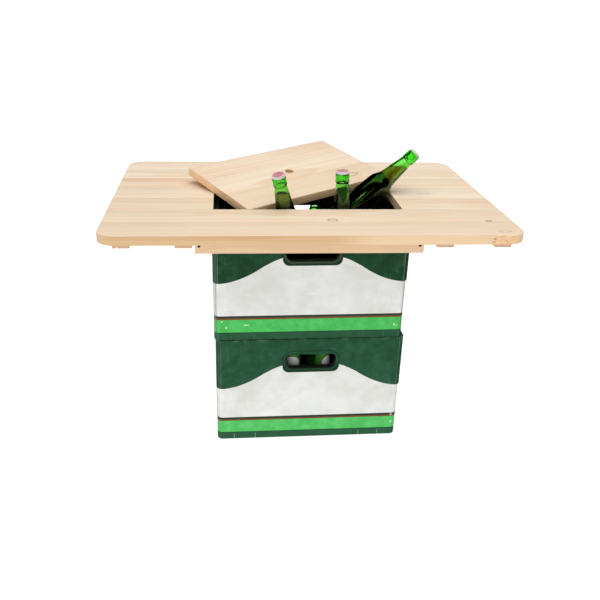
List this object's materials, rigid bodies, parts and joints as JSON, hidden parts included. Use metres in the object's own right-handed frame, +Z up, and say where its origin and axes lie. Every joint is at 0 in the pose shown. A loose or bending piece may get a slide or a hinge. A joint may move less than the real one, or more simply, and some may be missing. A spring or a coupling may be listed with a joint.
{
  "type": "outdoor side table",
  "caption": "Outdoor side table: pine board top with a cut-out and a loose lid on stacked plastic bottle crates, with capped bottles standing in the cut-out.",
  "frame": {"origin": "on the ground, plumb under the middle of the table top", "axes": "+X along the boards to the right, +Y from the front edge to the back edge, +Z up"},
  "size_m": [0.786, 0.5639, 0.6109],
  "materials": {
    "pine_top": "planed, untreated",
    "pine_lid": "planed, untreated",
    "pine_underframe": "planed, untreated",
    "screw_steel": "zinc plated",
    "crate_plastic": "moulded, pale panels, scuffed",
    "divider_plastic": "moulded",
    "bottle_glass": "green glass",
    "drink": "clear amber liquid",
    "crown_cap": "painted, crimped"
  },
  "bodies": {
    "lower_crate": {"lower_crate_body": "crate_plastic", "lower_long_dividers": "divider_plastic", "lower_cross_dividers": "divider_plastic", "lower_bottles_glass": "bottle_glass", "lower_bottles_beer": "drink", "lower_bottle_caps": "crown_cap"},
    "upper_crate": {"upper_crate_body": "crate_plastic", "upper_long_dividers": "divider_plastic", "upper_cross_dividers": "divider_plastic"},
    "table_top": {"front_outer_board": "pine_top", "front_inner_board": "pine_top", "left_board_front": "pine_top", "left_board_middle": "pine_top", "left_board_back": "pine_top", "right_board_front": "pine_top", "right_board_middle": "pine_top", "right_board_back": "pine_top", "back_inner_board": "pine_top", "back_outer_board": "pine_top", "batten_left_outer": "pine_underframe", "batten_left_inner": "pine_underframe", "batten_right_inner": "pine_underframe", "batten_right_outer": "pine_underframe", "batten_screws": "screw_steel", "apron_front": "pine_underframe", "apron_back": "pine_underframe", "rail_left": "pine_underframe", "rail_right": "pine_underframe", "apron_screws": "screw_steel"},
    "lid": {"lid_board_back": "pine_lid", "lid_board_middle": "pine_lid", "lid_board_front": "pine_lid"},
    "bottle_a": {"bottle_a_glass": "bottle_glass", "bottle_a_beer": "drink", "bottle_a_cap": "crown_cap"},
    "bottle_b": {"bottle_b_glass": "bottle_glass", "bottle_b_beer": "drink", "bottle_b_cap": "crown_cap"},
    "bottle_c": {"bottle_c_glass": "bottle_glass", "bottle_c_beer": "drink", "bottle_c_cap": "crown_cap"},
    "bottle_d": {"bottle_d_glass": "bottle_glass"}
  },
  "joints": [
    {"name": "upper_crate_lift", "type": "slide", "parent": "lower_crate", "child": "upper_crate", "axis": [0, 0, 1], "range_m": [0, 0.3]},
    {"name": "table_top_lift", "type": "slide", "parent": "upper_crate", "child": "table_top", "axis": [0, 0, 1], "range_m": [0, 0.3]},
    {"name": "lid_lift", "type": "slide", "parent": "table_top", "child": "lid", "axis": [0, 0, 1], "range_m": [0, 0.2]},
    {"name": "bottle_a_shift", "type": "slide", "parent": "table_top", "child": "bottle_a", "axis": [1, 0, 0], "range_m": [0, 0.03]},
    {"name": "bottle_b_lift", "type": "slide", "parent": "upper_crate", "child": "bottle_b", "axis": [0, 0, 1], "range_m": [0, 0.2]},
    {"name": "bottle_c_pull", "type": "slide", "parent": "table_top", "child": "bottle_c", "axis": [0.5001, -0.1, 0.8602], "range_m": [0, 0.2]},
    {"name": "bottle_d_lift", "type": "slide", "parent": "upper_crate", "child": "bottle_d", "axis": [-0.0156, -0.0243, 0.9996], "range_m": [0, 0.03]}
  ]
}
